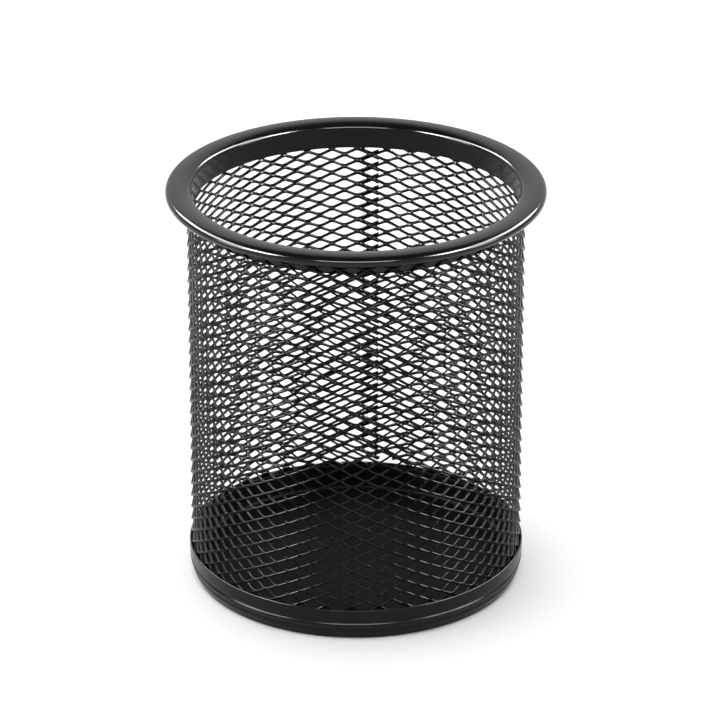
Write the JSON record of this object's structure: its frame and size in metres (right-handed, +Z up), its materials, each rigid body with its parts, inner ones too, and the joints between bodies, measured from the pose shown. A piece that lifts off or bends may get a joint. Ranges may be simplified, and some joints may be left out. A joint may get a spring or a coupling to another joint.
{
  "type": "pen holder cup",
  "caption": "Round desk cup for pens: expanded-mesh steel wall, rolled flanged rim, pressed floor pan and a beaded foot band.",
  "frame": {"origin": "centre of the foot, on the surface that the cup stands on", "axes": "+Z up along the cup's axis, towards its mouth; +Y towards the wall's lapped seam; +X to the right when the seam is at the back"},
  "size_m": [0.09, 0.09, 0.1],
  "materials": {
    "pressed_steel": "satin",
    "expanded_mesh": "satin",
    "weld_nuggets": "satin"
  },
  "bodies": {
    "root": {"top_rim": "pressed_steel", "mesh_wall": "expanded_mesh", "base_pan": "pressed_steel", "foot_band": "pressed_steel", "rim_spot_welds": "weld_nuggets", "pan_spot_welds": "weld_nuggets", "floor_spot_welds": "weld_nuggets", "seam_spot_welds": "weld_nuggets"}
  },
  "joints": []
}
